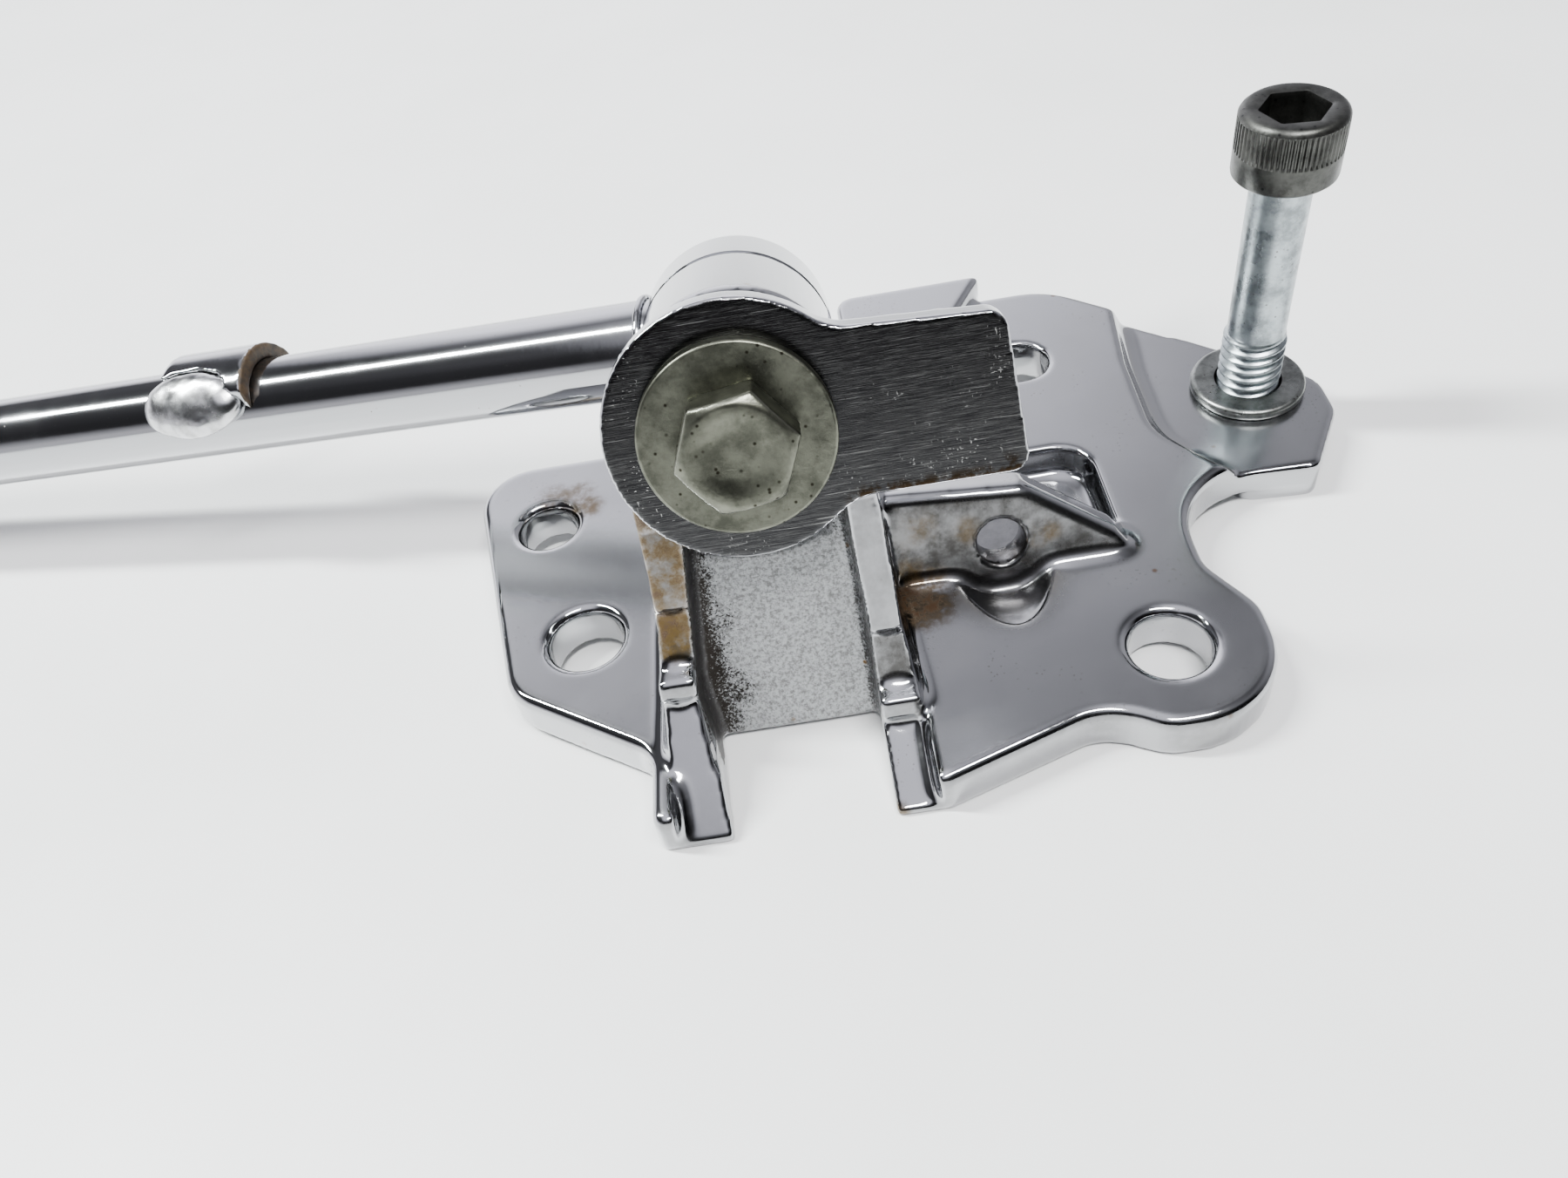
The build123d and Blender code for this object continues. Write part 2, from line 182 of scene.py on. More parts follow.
def bracket_chrome():
    """Plated forging: rust freckles, gold stains, and a bare blasted floor in the lock channel; grime and
    painted shade darken front faces, hollows and the floor.
    """
    s = Shader("bracket_chrome")
    stain = s.attribute("stain")
    cast = s.attribute("cast")
    grease_and_shade = s.attribute("grease_and_shade")
    # grime plus painted shade on front faces, hollows, grooves and the lug's hole
    grime_and_shade = s.math("MULTIPLY", s.attribute("grime_and_shade"), s.ramp(s.noise(240, 7, 0.7), 0.30, 0.66, 0.62, 1.0))
    patch = s.ramp(s.noise(210, 8, 0.68), 0.30, 0.68, 0.15, 1.0)
    amount = s.math("MULTIPLY", stain, patch)
    gold = s.ramp(amount, 0.06, 0.60, 0.0, 0.85)
    rust = s.math("MULTIPLY", s.ramp(amount, 0.42, 0.85, 0.0, 0.9), s.ramp(s.noise(700, 5, 0.75), 0.36, 0.58))
    freckle = s.ramp(s.cells(210), 0.04, 0.13, 1.0, 0.0)
    freckle = s.math("MULTIPLY", freckle, s.ramp(s.noise(60, 3), 0.58, 0.66))
    fine = s.ramp(s.cells(1300), 0.08, 0.22, 1.0, 0.0)
    fine = s.math("MULTIPLY", fine, s.ramp(s.noise(120, 3), 0.50, 0.62))
    plated = s.mix(s.math("MULTIPLY", fine, 0.45), CHROME, (0.16, 0.14, 0.12))
    plated = s.mix(freckle, plated, (0.20, 0.10, 0.04))
    plated = s.mix(s.ramp(s.noise(26, 4, 0.6), 0.35, 0.70, 0.0, 0.30), plated, (0.30, 0.30, 0.30))
    # near-black mix: painted shade with grime
    plated = s.mix(grime_and_shade, plated, (0.040, 0.037, 0.033))
    plated = s.mix(gold, plated, GOLD)
    plated = s.mix(rust, plated, RUST)
    blasted = s.mix(s.ramp(s.noise(1900, 4, 0.8), 0.40, 0.64), (0.40, 0.41, 0.42), (0.17, 0.17, 0.17))
    dots = s.math("MULTIPLY", s.ramp(s.cells(330), 0.08, 0.16, 1.0, 0.0), s.ramp(s.noise(95, 2), 0.56, 0.62))
    blasted = s.mix(dots, blasted, (0.16, 0.085, 0.02))
    speckle = s.math("MULTIPLY", s.math("SUBTRACT", s.noise(2900, 4, 0.85), 0.5), 2.6)
    drift = s.math("SUBTRACT", s.noise(200, 6, 0.75), 0.5)
    # grease speckles plus painted shade, mixed to near-black on the blasted floor
    dark_grease_and_shade = s.ramp(s.math("ADD", grease_and_shade, s.math("ADD", speckle, drift)), 0.42, 0.72)
    blasted = s.mix(dark_grease_and_shade, blasted, (0.010, 0.007, 0.005))
    colour = s.mix(cast, plated, blasted)
    satin = s.ramp(s.facing((0, 0, 1)), 0.975, 0.998, 0.0, 0.15)
    dulled = s.math("ADD", satin, s.math("MULTIPLY", grime_and_shade, 0.22))
    shine = s.math("ADD", s.ramp(s.noise(70, 5), 0.35, 0.75, 0.06, 0.11), dulled)
    rough = s.math("MAXIMUM", shine, s.math("MULTIPLY", cast, 0.46))
    bare = s.math("MAXIMUM", rust, s.math("MULTIPLY", cast, 0.35))
    metal = s.math("SUBTRACT", 1.0, s.math("MULTIPLY", bare, 0.8))
    grain = s.math("MULTIPLY", s.noise(1500, 3, 0.7), s.math("ADD", cast, 0.03))
    s.bump(grain, 0.00012, 0.6)
    return s.surface(colour, rough, metal)


def brushed_stop():
    """Bare ground face with long scratches and white nicks, its near-black tone a painted dark reflection;
    the cut edges are plated.
    """
    s = Shader("brushed_stop")
    front = s.ramp(s.facing(TOWARDS), 0.80, 0.97)
    lines = s.noise(1.0, 3, 0.7, s.stretched((300, 8500, 8500), (0, 0, math.radians(3))))
    fine = s.noise(1.0, 2, 0.6, s.stretched((500, 12000, 12000), (0, math.radians(4), 0)))
    long_marks = s.noise(1.0, 1, 0.5, s.stretched((130, 4200, 4200), (0, math.radians(-5), 0)))
    long_marks = s.ramp(long_marks, 0.68, 0.76)
    nicks = s.noise(1.0, 2, 0.5, s.stretched((1500, 620, 4200), (0, math.radians(38), 0)))
    cross_nicks = s.noise(1.0, 2, 0.5, s.stretched((4200, 620, 1300), (0, math.radians(24), 0)))
    worn = s.ramp(s.noise(120, 2), 0.48, 0.62)
    nicks = s.math("MULTIPLY", s.ramp(s.math("MAXIMUM", nicks, cross_nicks), 0.67, 0.72), worn)
    marks = s.math("MAXIMUM", nicks, s.math("MULTIPLY", long_marks, 0.35))
    # the face's near-black colour is painted dark reflection; the lines are brushing
    face = s.mix(s.ramp(lines, 0.35, 0.70), (0.030, 0.030, 0.032), (0.085, 0.085, 0.085))
    face = s.mix(marks, face, (0.42, 0.42, 0.41))
    rusty = s.math("MULTIPLY", s.attribute("stain"), s.ramp(s.noise(420, 5, 0.7), 0.34, 0.58))
    face = s.mix(s.ramp(rusty, 0.18, 0.80, 0.0, 0.9), face, (0.020, 0.012, 0.005))
    colour = s.mix(front, CHROME, face)
    rough = s.math("ADD", s.math("MULTIPLY", front, s.ramp(lines, 0.3, 0.7, 0.10, 0.22)), 0.06)
    cuts = s.math("ADD", lines, s.math("ADD", fine, s.math("MULTIPLY", marks, 1.5)))
    height = s.math("MULTIPLY", front, cuts)
    s.bump(height, 0.00002, 0.5)
    return s.surface(colour, rough)


def zinc(name, colour, dark, rough, grain=900.0):
    """Plated steel that has gone dull: mottled, speckled and a little dirty."""
    s = Shader(name)
    mottle = s.ramp(s.noise(300, 6, 0.65), 0.35, 0.68)
    specks = s.ramp(s.cells(grain), 0.06, 0.20, 1.0, 0.0)
    specks = s.math("MULTIPLY", specks, s.ramp(s.noise(220, 2), 0.40, 0.54))
    tint = s.mix(mottle, colour, tuple(0.45 * c for c in colour))
    tint = s.mix(specks, tint, dark)
    s.bump(s.noise(1400, 4, 0.7), 0.00005, 0.5)
    return s.surface(tint, s.ramp(s.noise(180, 5), 0.3, 0.7, rough, rough + 0.14))


def weld_chrome():
    """The bead is paler than the bar, a painted bright reflection, and its plating is less polished."""
    s = Shader("weld_chrome")
    s.bump(s.noise(700, 4), 0.00006, 0.5)
    # pale base colour: painted bright reflection
    colour = s.mix(s.ramp(s.noise(500, 5), 0.4, 0.7), (0.66, 0.665, 0.68), (0.42, 0.42, 0.42))
    return s.surface(colour, s.ramp(s.noise(300, 4), 0.3, 0.7, 0.16, 0.30))


def knurled_head():
    """The screw's head: darker phosphated sides under the zinc."""
    return zinc("screw_head", (0.085, 0.086, 0.080), (0.02, 0.02, 0.02), 0.32, 700)


def rusty_steel():
    s = Shader("rusty_steel")
    colour = s.mix(s.ramp(s.noise(500, 6, 0.7), 0.35, 0.65), (0.060, 0.036, 0.016), (0.022, 0.016, 0.011))
    s.bump(s.noise(900, 4, 0.7), 0.0001, 0.7)
    return s.surface(colour, 0.6, 0.3)


def table_top():
    """Plain pale laminate with a faint mottle and a soft gloss."""
    s = Shader("table_top")
    colour = s.mix(s.ramp(s.noise(14, 5), 0.35, 0.70), (0.84, 0.845, 0.84), (0.80, 0.81, 0.80))
    return s.surface(colour, s.ramp(s.noise(40, 4), 0.3, 0.7, 0.35, 0.46), 0.0)


def plain_metal(name, colour, rough):
    s = Shader(name)
    tint = s.mix(s.ramp(s.noise(400, 4), 0.35, 0.65), colour, tuple(0.7 * c for c in colour))
    return s.surface(tint, s.ramp(s.noise(250, 4), 0.3, 0.7, rough, rough + 0.1))


# ---- mesh helpers ----
def new_piece(name, mesh, body, material):
    piece = bpy.data.objects.new(name, mesh)
    bpy.context.scene.collection.objects.link(piece)
    mesh.materials.clear()
    mesh.materials.append(material)
    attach(piece, body)
    return piece


def smooth_shaded(mesh):
    mesh.polygons.foreach_set("use_smooth", np.ones(len(mesh.polygons), bool))


def joined_mesh(node):
    """A copy of a CAD node's mesh with its doubled points merged."""
    mesh = frame["nodes"][node].data.copy()
    mesh.name = node + "_shape"
    work = bmesh.new()
    work.from_mesh(mesh)
    bmesh.ops.remove_doubles(work, verts=work.verts, dist=1e-6)
    work.to_mesh(mesh)
    work.free()
    return mesh


def remeshed(node, voxel):
    """A copy of a CAD node as an even skin of small quads."""
    source = bpy.data.objects.new(node + "_work", joined_mesh(node))
    bpy.context.scene.collection.objects.link(source)
    modifier = source.modifiers.new("remesh", "REMESH")
    modifier.mode = "VOXEL"
    modifier.voxel_size = voxel
    modifier.adaptivity = 0.0
    shape = bpy.data.meshes.new_from_object(source.evaluated_get(bpy.context.evaluated_depsgraph_get()))
    original = source.data
    bpy.data.objects.remove(source)
    return shape, original


def points_of(mesh):
    points = np.empty(len(mesh.vertices) * 3)
    mesh.vertices.foreach_get("co", points)
    return points.reshape(-1, 3)


def normals_of(mesh):
    normals = np.empty(len(mesh.vertices) * 3)
    mesh.vertices.foreach_get("normal", normals)
    return normals.reshape(-1, 3)


def set_points(mesh, points):
    mesh.vertices.foreach_set("co", points.ravel())
    mesh.update()


def neighbour_mean(mesh):
    """A function that averages each point's neighbours along edges."""
    ends = np.empty(len(mesh.edges) * 2, int)
    mesh.edges.foreach_get("vertices", ends)
    a, b = ends.reshape(-1, 2).T
    count = np.bincount(a, minlength=len(mesh.vertices)) + np.bincount(b, minlength=len(mesh.vertices))
    count = np.maximum(count, 1)

    def mean(values):
        total = np.empty_like(values)
        for axis in range(values.shape[1]):
            total[:, axis] = (np.bincount(a, values[b, axis], len(values))
                              + np.bincount(b, values[a, axis], len(values)))
        return total / count[:, None]
    return mean


def ease(values, low, high):
    t = np.clip((values - low) / (high - low), 0, 1)
    return t * t * (3 - 2 * t)


def forge(mesh, original, even_steps, hollow_steps, snap=(0.03 * MM, 0.12 * MM)):
    """Rounds edges a little and inside corners more, then lays flat areas back on the CAD faces."""
    mean = neighbour_mean(mesh)

    def spread(weight, steps):
        for _ in range(steps):
            weight = 0.5 * (weight + mean(weight[:, None])[:, 0])
        return weight

    points = points_of(mesh)
    for _ in range(even_steps):
        points += 0.5 * (mean(points) - points)
    set_points(mesh, points)
    normals = normals_of(mesh)
    for _ in range(hollow_steps):
        pull = mean(points) - points
        outward = np.einsum("ij,ij->i", pull, normals)
        weight = spread(ease(outward, 0.0, 0.006 * MM), 2)
        points += 0.5 * weight[:, None] * pull
    points += 0.4 * (mean(points) - points)
    set_points(mesh, points)
    normals = normals_of(mesh)
    tree = BVHTree.FromPolygons([v.co for v in original.vertices], [p.vertices for p in original.polygons])
    hits = [tree.find_nearest(Vector(p)) for p in points]
    nearest = np.array([hit[0] for hit in hits])
    agreement = np.einsum("ij,ij->i", normals, np.array([hit[1] for hit in hits]))
    gap = np.linalg.norm(nearest - points, axis=1)
    weight = spread((1 - ease(gap, *snap)) * ease(agreement, 0.975, 0.997), 5)
    points += weight[:, None] * (nearest - points)
    set_points(mesh, points)
    smooth_shaded(mesh)


def spots(points, places):
    """Soft round patches: the strongest of the (centre in mm, radius in mm, strength) at each point."""
    value = np.zeros(len(points))
    for centre, radius, strength in places:
        distance = np.linalg.norm(points - np.array(centre) * MM, axis=1)
        value = np.maximum(value, strength * (1 - ease(distance, 0.25 * radius * MM, radius * MM)))
    return value


def paint(mesh, name, values):
    layer = mesh.attributes.new(name, "FLOAT", "POINT")
    layer.data.foreach_set("value", np.asarray(values, dtype=np.float32))


def slope_coordinates(points):
    """Across, up the slope and depth behind the stop washer, in mm, for each point."""
    away = points - np.array(PIVOT)
    return away[:, 0] / MM, away @ np.array(UP_SLOPE) / MM, -(away @ np.array(TOWARDS)) / MM


# ---- pieces ----
VOXEL = 0.42 * MM
CHANNEL_DEPTH = 12.3
LUG_FACE_Y = 17.0


def forged_bracket(material):
    mesh, original = remeshed("mounting_bracket", VOXEL)
    forge(mesh, original, 5, 60)
    points = points_of(mesh)
    normals = normals_of(mesh)
    across, slope, depth = slope_coordinates(points)
    facing = normals @ np.array(TOWARDS)
    on_floor = (np.abs(across) < 12.5) & (slope < 2) & (slope > -50)
    on_floor = on_floor & (depth > CHANNEL_DEPTH - 2) & (depth < 16)
    cast = on_floor * ease(facing, 0.55, 0.9)
    # the ribs' inner walls take the blasted finish, with painted shade added below
    inner_walls = (np.abs(across) < 12.6) & (depth > 6.2) & (depth < 14) & (slope > -47) & (slope < -8)
    inner_walls = inner_walls & (np.abs(normals[:, 0]) > 0.6) & (points[:, 2] > 1 * MM)
    cast = np.maximum(cast, 0.9 * inner_walls)
    # darker towards the left rib
    beside_left = 0.95 * ease(-across, 3.0, 10.5) ** 1.6
    # painted shade under the stop disc
    under_disc = 0.55 * (1 - ease(-slope, 15, 22))
    # painted shade along both channel walls
    beside_walls = 0.6 * ease(np.abs(across), 9.6, 10.8)
    grease_and_shade = np.maximum(0.06, np.maximum(beside_left, np.maximum(under_disc, beside_walls)))
    # darker patches low in the channel
    low_darkening = spots(points, [((-58.5, 2.0, 8.0), 6.5, 0.72), ((-59.0, 7.0, 17.0), 6, 0.5)])
    paint(mesh, "cast", cast)
    # grease_and_shade: grease on the blasted floor plus painted shade under the disc, along the walls and on
    # the ribs' inner walls
    paint(mesh, "grease_and_shade", np.maximum(np.maximum(grease_and_shade, low_darkening), 0.62 * inner_walls) * (cast > 0.05))
    # grime_and_shade: grime plus painted shade; the rib fronts are darkened as painted shade on their
    # front-facing side, with grime
    rib_fronts = ease(facing, 0.80, 0.97) * (depth < 9) * (slope < -12)
    # darker still on the left rib's upper front
    left_rib_darker = ease(-across, 9.0, 10.0) * (1 - ease(-slope, 30, 36)) * 0.25
    # painted shade in the recessed grooves
    grooves = ((slope < -23) & (slope > -31) & (across < -8) | (slope < -31) & (slope > -38.5) & (across > 9))
    # the lug face is darkened: dirt plus painted shade
    lug_face = ease(facing, 0.80, 0.97) * (across > 16) * (points[:, 2] > 6.5 * MM)
    # painted shade in the concave hollow beside the lug
    hollow_shade = spots(points, [((-18.4, 13.5, 6.5), 10.5, 0.85), ((-14.0, 30.0, 2.0), 15, 0.55)])
    # painted shade inside the lug's hole
    hole = np.array((-18.4, LUG_FACE_Y + 4.4 * UP_SLOPE.y, 7.0 + 4.4 * UP_SLOPE.z)) * MM
    beside_hole = points - hole
    along_hole = beside_hole @ np.array(TOWARDS)
    from_hole = np.linalg.norm(beside_hole - np.outer(along_hole, np.array(TOWARDS)), axis=1)
    in_hole = (from_hole < 4.0 * MM) & (np.abs(along_hole) < 8 * MM) & (facing < 0.8)
    grime_and_shade = np.maximum(rib_fronts * (0.50 + left_rib_darker + 0.4 * grooves), np.maximum(0.92 * lug_face, hollow_shade))
    paint(mesh, "grime_and_shade", np.maximum(grime_and_shade, 0.95 * in_hole))
    paint(mesh, "stain", spots(points, [
        ((-84.2, 47.2, 7.0), 5.5, 0.55), ((-79.5, 44.5, 7.0), 5, 0.6), ((-80.0, 48.5, 7.0), 4, 0.5),
        ((-65.2, 4.5, 31.0), 12, 0.9), ((-64.8, 1.5, 22.0), 8, 1.0), ((-64.5, 7.0, 36.0), 10, 0.8),
        ((-31.0, 13.5, 8.0), 8, 1.0), ((-32.0, 16.0, 14.0), 5, 0.7),
        ((-18.4, 18.6, 11.1), 5.0, 0.6), ((-12.5, 19.0, 11.5), 4, 0.5),
        ((-29.5, 19.5, 15.0), 5, 0.4), ((-95.5, 26.0, 6.0), 6, 0.35), ((-23.0, 19.5, 13.5), 4, 0.4),
        ((-38.9, -15.5, 1.0), 3.0, 0.7)]))
    bracket = new_piece("bracket_forging", mesh, "bracket", material)
    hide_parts("mounting_bracket")


def stop_flag(material):
    """The stop plate with lightly broken edges and rust along the flag's lower edge."""
    mesh, original = remeshed("stop_plate", 0.30 * MM)
    forge(mesh, original, 2, 2, snap=(0.02 * MM, 0.06 * MM))
    points = points_of(mesh)
    across, slope, _ = slope_coordinates(points)
    low_edge = (1 - ease(slope, -10.2, -7.4)) * ease(across, 9, 14)
    corner = spots(points, [((-20.0, 2.0, 37.5), 6, 1.0)])
    paint(mesh, "stain", np.maximum(low_edge, corner * (slope < -5)))
    piece = new_piece("stop_plate_flag", mesh, "leg", material)
    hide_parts("stop_plate")


def lumpy_weld(material):
    """The bead that holds the spring tab: uneven ripples laid over the CAD bead."""
    mesh, _ = remeshed("tab_weld", 0.35 * MM)
    points = points_of(mesh)
    normals = normals_of(mesh)
    for index, (point, normal) in enumerate(zip(points, normals)):
        lump = noise.noise(Vector(point) * 260) + 0.4 * noise.noise(Vector(point) * 620 + Vector((3, 1, 2)))
        points[index] = point + normal * (0.20 * MM * lump - 0.2 * MM)
    mean = neighbour_mean(mesh)
    for _ in range(3):
        points += 0.5 * (mean(points) - points)
    set_points(mesh, points)
    smooth_shaded(mesh)
    weld = new_piece("tab_weld_bead", mesh, "leg", material)
    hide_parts("tab_weld")


WORN_END = -6.7 * MM          # the tab is rusty beyond this, measured along the bar from its middle


def bent_tab(material, worn):
    """The spring tab, plated, with a bare rusty end where the spring's hook bears."""
    mesh, original = remeshed("spring_tab", 0.4 * MM)
    forge(mesh, original, 4, 4)
    piece = new_piece("spring_tab_plate", mesh, "leg", material)
    mesh.materials.append(worn)
    middle = np.array(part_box("spring_tab")).mean(axis=0)
    for face in mesh.polygons:
        along = (np.array(face.center) - middle) @ np.array(ALONG_LEG)
        if along < WORN_END:
            face.material_index = 1
    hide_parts("spring_tab")


SCREW_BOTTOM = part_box("mount_screw")[0][2]
SCREW_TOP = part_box("mount_screw")[1][2]
SCREW_CENTRE = Vector([(a + b) / 2 for a, b in zip(*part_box("mount_screw"))])
THREAD_PITCH = 25.4 / 16
THREAD_TURNS = 11


def screw_point(radius, angle, height):
    return Vector((SCREW_CENTRE.x + MM * radius * math.cos(angle),
                   SCREW_CENTRE.y + MM * radius * math.sin(angle), SCREW_BOTTOM + MM * height))


def grid_mesh(name, rows):
    """A skin over rows of points; each row closes on itself and both ends are capped."""
    work = bmesh.new()
    made = [[work.verts.new(p) for p in row] for row in rows]
    for low, high in zip(made, made[1:]):
        for k in range(len(low)):
            work.faces.new((low[k], low[(k + 1) % len(low)], high[(k + 1) % len(low)], high[k]))
    work.faces.new(list(reversed(made[0])))
    work.faces.new(made[-1])
    bmesh.ops.recalc_face_normals(work, faces=work.faces)
    mesh = bpy.data.meshes.new(name)
    work.to_mesh(mesh)
    work.free()
    return mesh


def threaded_shank(material):
    """Shank and rolled thread as one skin: the radius follows the helix as it climbs."""
    sides, step = 72, 0.12
    length = (SCREW_TOP - SCREW_BOTTOM) / MM - 9.5
    thread_end = THREAD_TURNS * THREAD_PITCH
    rows = []
    for level in range(int(length / step) + 1):
        height = level * step
        fade = min(1, height / 1.6) * min(1, max(0, (thread_end + 1.0 - height) / 1.2))
        row = []
        for k in range(sides):
            angle = math.tau * k / sides
            turn = (height / THREAD_PITCH - k / sides) % 1
            tooth = min(1, max(0, 1.35 * (1 - abs(2 * turn - 1)) - 0.1))
            crest = 3.85 + 0.86 * tooth
            plain = 4.25 if height > thread_end else 3.85
            radius = plain + (crest - plain) * fade
            radius -= 0.8 * max(0, 1 - height / 0.9)
            row.append(screw_point(radius, angle, height))
        rows.append(row)
    mesh = grid_mesh("screw_shank", rows)
    smooth_shaded(mesh)
    return new_piece("screw_shank", mesh, "screw", material)


def screw_head(material):
    """Socket head: a knurled band round the upper half, chamfers, and the hexagon socket."""
    sides = 240
    base = (SCREW_TOP - SCREW_BOTTOM) / MM - 9.5
    levels = [(0.0, 6.7, 0), (0.35, 7.05, 0), (0.7, 7.12, 0), (3.4, 7.12, 0), (3.9, 7.12, 0), (4.3, 7.12, 1),
              (6.0, 7.12, 1), (8.2, 7.12, 1), (8.6, 7.10, 0), (9.0, 6.9, 0), (9.35, 6.5, 0), (9.48, 6.1, 0),
              (9.48, 4.95, 0)]
    rows = []
    for height, radius, knurled in levels:
        rows.append([screw_point(radius - knurled * (0.26 if k % 4 in (2, 3) else 0), math.tau * k / sides,
                                 base + height) for k in range(sides)])
    half = 3.97
    for depth, shrink in ((9.3, 1.03), (8.7, 1.0), (4.8, 1.0)):
        row = []
        for k in range(sides):
            angle = math.tau * k / sides
            local = (angle - math.radians(20) + math.pi / 6) % (math.pi / 3) - math.pi / 6
            row.append(screw_point(min(half / math.cos(local), 4.5) * shrink, angle, base + depth))
        rows.append(row)
    rows.append([screw_point(0.4, math.tau * k / sides, base + 4.2) for k in range(sides)])
    mesh = grid_mesh("screw_head", rows)
    smooth_shaded(mesh)
    mesh.set_sharp_from_angle(angle=math.radians(32))
    return new_piece("screw_head", mesh, "screw", material)


def hex_bolt(material):
    """The stop bolt: a soft-cornered hexagon under a worn, slightly dished crown."""
    mesh, original = remeshed("stop_bolt", 0.28 * MM)
    forge(mesh, original, 3, 6, snap=(0.02 * MM, 0.06 * MM))
    points = points_of(mesh)
    across, slope, depth = slope_coordinates(points)
    reach = np.hypot(across, slope)
    crown = (depth < -5.0) & (reach < 6.0)
    points -= np.outer(crown * 0.22 * MM * (1 - ease(reach, 2.5, 5.2)), np.array(TOWARDS))
    set_points(mesh, points)
    bolt = new_piece("stop_bolt_hex", mesh, "leg", material)
    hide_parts("stop_bolt")


def rounded_node(node, voxel, steps, body, material):
    """A CAD node with its sharp edges softened."""
    mesh, original = remeshed(node, voxel)
    forge(mesh, original, steps, steps, snap=(0.02 * MM, 0.07 * MM))
    piece = new_piece(node + "_soft", mesh, body, material)
    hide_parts(node)
    return piece


def finish_cad_node(node, material):
    mesh = frame["nodes"][node].data
    mesh.materials.clear()
    mesh.materials.append(material)


# ---- surroundings ----
def table(material):
    work = bmesh.new()
    bmesh.ops.create_grid(work, x_segments=2, y_segments=2, size=1.6)
    mesh = bpy.data.meshes.new("table")
    work.to_mesh(mesh)
    work.free()
    mesh.materials.append(material)
    floor = bpy.data.objects.new("table", mesh)
    floor.matrix_world = Matrix.Translation((0, FEET_Y, 0)) @ Matrix.Rotation(-FLOOR_TILT, 4, "X")
    bpy.context.scene.collection.objects.link(floor)


def area_light(name, place, target, size, power, colour=(1, 1, 1)):
    lamp = bpy.data.lights.new(name, "AREA")
    lamp.shape = "RECTANGLE"
    lamp.size, lamp.size_y = size
    lamp.energy = power
    lamp.color = colour
    light = bpy.data.objects.new(name, lamp)
    light.location = place
    light.rotation_euler = (Vector(target) - Vector(place)).to_track_quat("-Z", "Y").to_euler()
    bpy.context.scene.collection.objects.link(light)


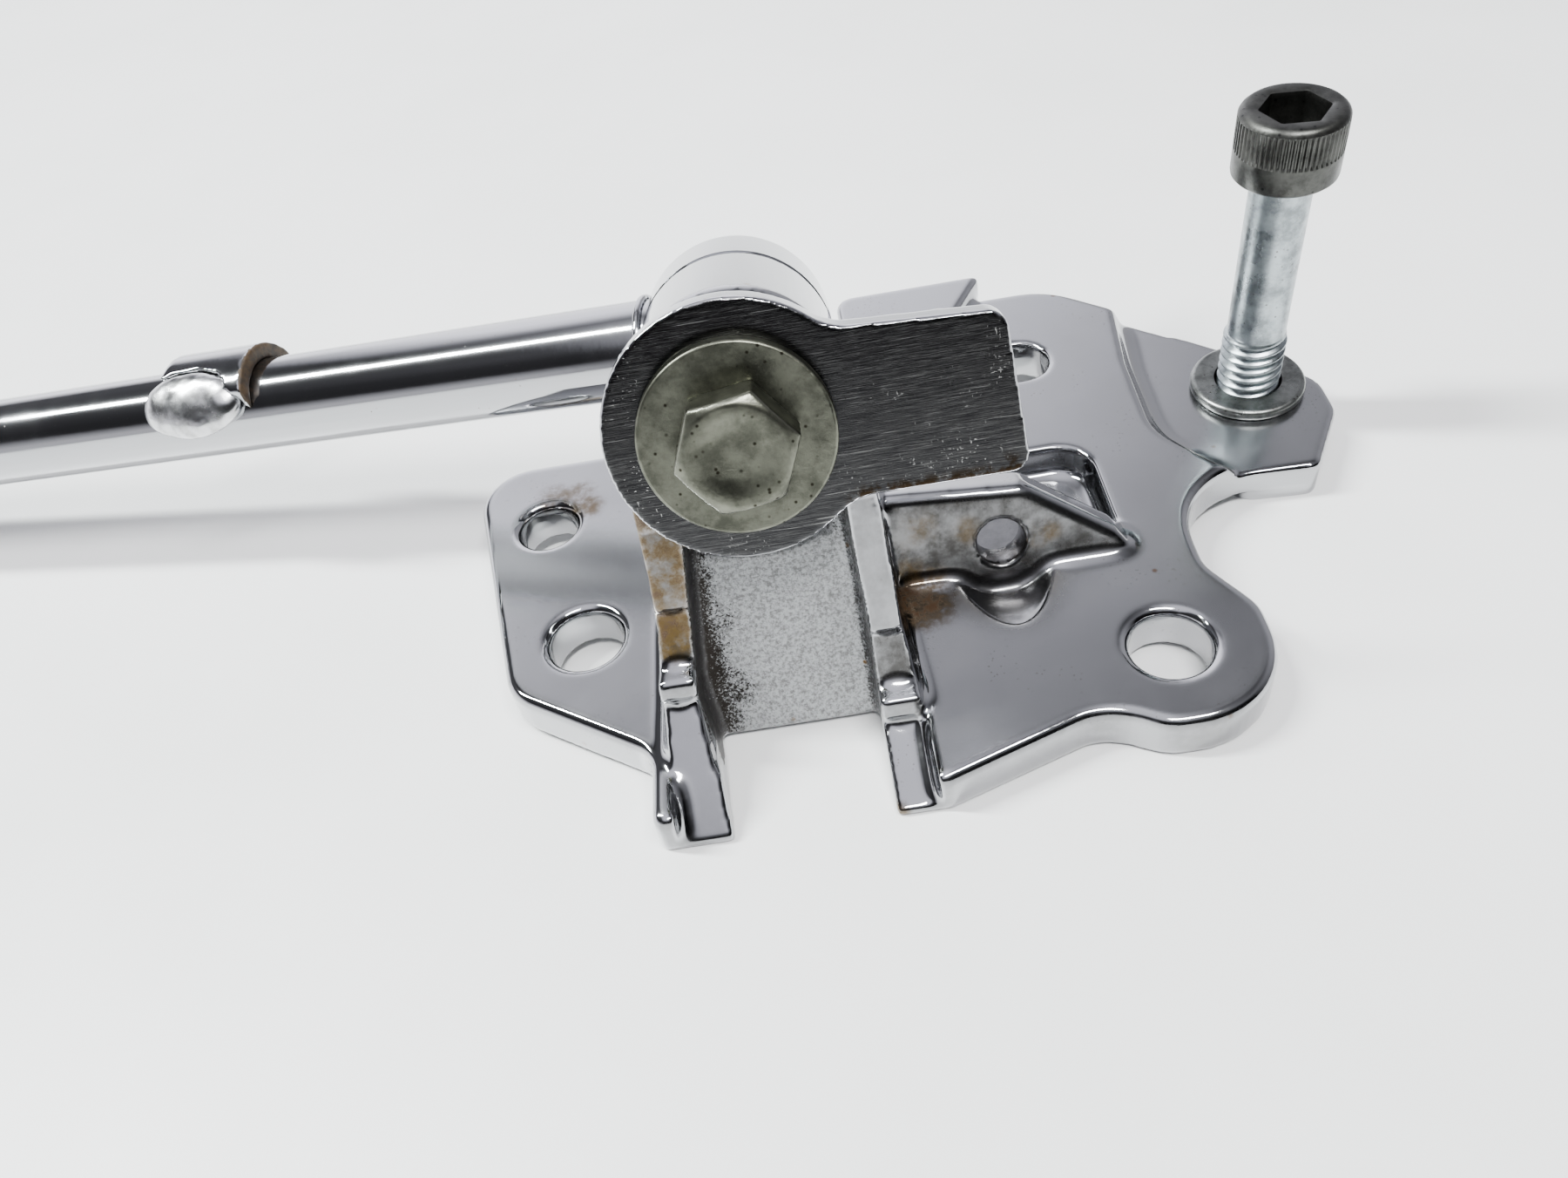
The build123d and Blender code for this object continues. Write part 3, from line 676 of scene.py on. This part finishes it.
def room():
    """A pale wall behind, a dim room in front, and darker towards the right and the upper left."""
    world = bpy.data.worlds.new("room")
    world.use_nodes = True
    tree = world.node_tree
    coordinates = tree.nodes.new("ShaderNodeTexCoord")
    split = tree.nodes.new("ShaderNodeSeparateXYZ")
    tree.links.new(coordinates.outputs["Generated"], split.inputs[0])

    def graded(axis, stops):
        ramp = tree.nodes.new("ShaderNodeValToRGB")
        shift = tree.nodes.new("ShaderNodeMapRange")
        shift.inputs["From Min"].default_value = -1
        tree.links.new(split.outputs[axis], shift.inputs["Value"])
        tree.links.new(shift.outputs["Result"], ramp.inputs["Fac"])
        while len(ramp.color_ramp.elements) < len(stops):
            ramp.color_ramp.elements.new(0.5)
        for element, (place, level) in zip(ramp.color_ramp.elements, stops):
            element.position = place
            element.color = (level, level, 1.03 * level, 1)
        return ramp.outputs["Color"]

    back = graded("Z", [(0.0, 0.7), (0.50, 1.0), (0.74, 0.95), (0.82, 0.70),
                        (0.875, 0.27), (0.905, 0.12), (0.95, 0.2), (1.0, 0.5)])
    front = graded("Z", [(0.0, 0.2), (0.49, 0.008), (0.72, 0.012), (0.80, 0.08), (0.87, 0.42), (1.0, 0.5)])
    right = graded("X", [(0.0, 1.0), (0.52, 1.0), (0.60, 0.66), (0.67, 0.25), (1.0, 0.2)])
    left = graded("X", [(0.0, 0.04), (0.24, 0.05), (0.33, 1.0), (1.0, 1.0)])
    left_light = graded("X", [(0.0, 0.35), (0.22, 0.30), (0.29, 0.0), (1.0, 0.0)])

    def weight(axis, low, high):
        node = tree.nodes.new("ShaderNodeMapRange")
        node.inputs["From Min"].default_value = low
        node.inputs["From Max"].default_value = high
        tree.links.new(split.outputs[axis], node.inputs["Value"])
        return node.outputs["Result"]

    def blended(kind, amount, first, second):
        node = tree.nodes.new("ShaderNodeMix")
        node.data_type = "RGBA"
        node.blend_type = kind
        if amount is None:
            node.inputs[0].default_value = 1.0
        else:
            tree.links.new(amount, node.inputs[0])
        tree.links.new(first, node.inputs[6])
        tree.links.new(second, node.inputs[7])
        return node.outputs[2]

    lit_front = blended("ADD", None, front, left_light)
    whole = blended("MIX", weight("Y", -0.35, 0.45), lit_front, back)
    whole = blended("MULTIPLY", None, whole, right)
    overhead = blended("MULTIPLY", None, whole, left)
    sky = tree.nodes["Background"]
    tree.links.new(blended("MIX", weight("Z", 0.12, 0.34), whole, overhead), sky.inputs["Color"])
    sky.inputs["Strength"].default_value = 3.0
    bpy.context.scene.world = world
    area_light("window", (-0.75, 0.20, 0.95), (-0.05, 0.0, 0.0), (0.10, 0.60), 34, (0.96, 1.0, 0.99))
    area_light("ceiling", (0.20, -0.45, 1.25), (-0.03, 0.03, 0.0), (0.70, 0.16), 28)


def photographer():
    """The camera: in front, above and a little to the right of the pivot."""
    camera = bpy.data.cameras.new("camera")
    camera.lens = 28
    camera.sensor_width = 36
    camera.clip_start = 0.005
    holder = bpy.data.objects.new("camera", camera)
    back = Vector((0.046, -0.676, 0.735)).normalized()
    right = Vector((0.984, -0.085, -0.140))
    right = (right - back * right.dot(back)).normalized()
    up = back.cross(right)
    turn = Matrix((right, up, back)).transposed()
    holder.matrix_world = Matrix.Translation(MM * Vector((-41.5, -98.5, 136.0))) @ turn.to_4x4()
    bpy.context.scene.collection.objects.link(holder)
    bpy.context.scene.camera = holder


def main():
    photographer()
    chrome = leg_chrome()
    screw_zinc = zinc("screw_zinc", (0.42, 0.47, 0.49), (0.16, 0.16, 0.16), 0.24)
    dull = zinc("dull_zinc", (0.165, 0.170, 0.135), (0.02, 0.018, 0.012), 0.28, 700)
    washer_zinc = zinc("washer_zinc", (0.24, 0.25, 0.24), (0.06, 0.055, 0.05), 0.24)
    steel = plain_metal("oily_steel", (0.12, 0.12, 0.12), 0.25)
    bronze = plain_metal("bronze", (0.55, 0.38, 0.20), 0.30)
    forged_bracket(bracket_chrome())
    stop_flag(brushed_stop())
    lumpy_weld(weld_chrome())
    bent_tab(chrome, rusty_steel())
    hex_bolt(dull)
    shank = threaded_shank(screw_zinc)
    head = screw_head(knurled_head())
    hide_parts("mount_screw")
    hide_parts("mount_screw")
    rounded_node("leg_foot", 0.6 * MM, 4, "leg", chrome)
    rounded_node("hub_weld", 0.25 * MM, 3, "leg", chrome)
    for node in ("leg_rod", "leg_hub"):
        finish_cad_node(node, chrome)
    finish_cad_node("stop_washer", dull)
    finish_cad_node("mount_washer", washer_zinc)
    for node in ("pivot_shaft", "thrust_washer", "rear_thrust_washer"):
        finish_cad_node(node, steel)
    for node in ("front_bushing", "rear_bushing"):
        finish_cad_node(node, bronze)
    table(table_top())
    room()


main()
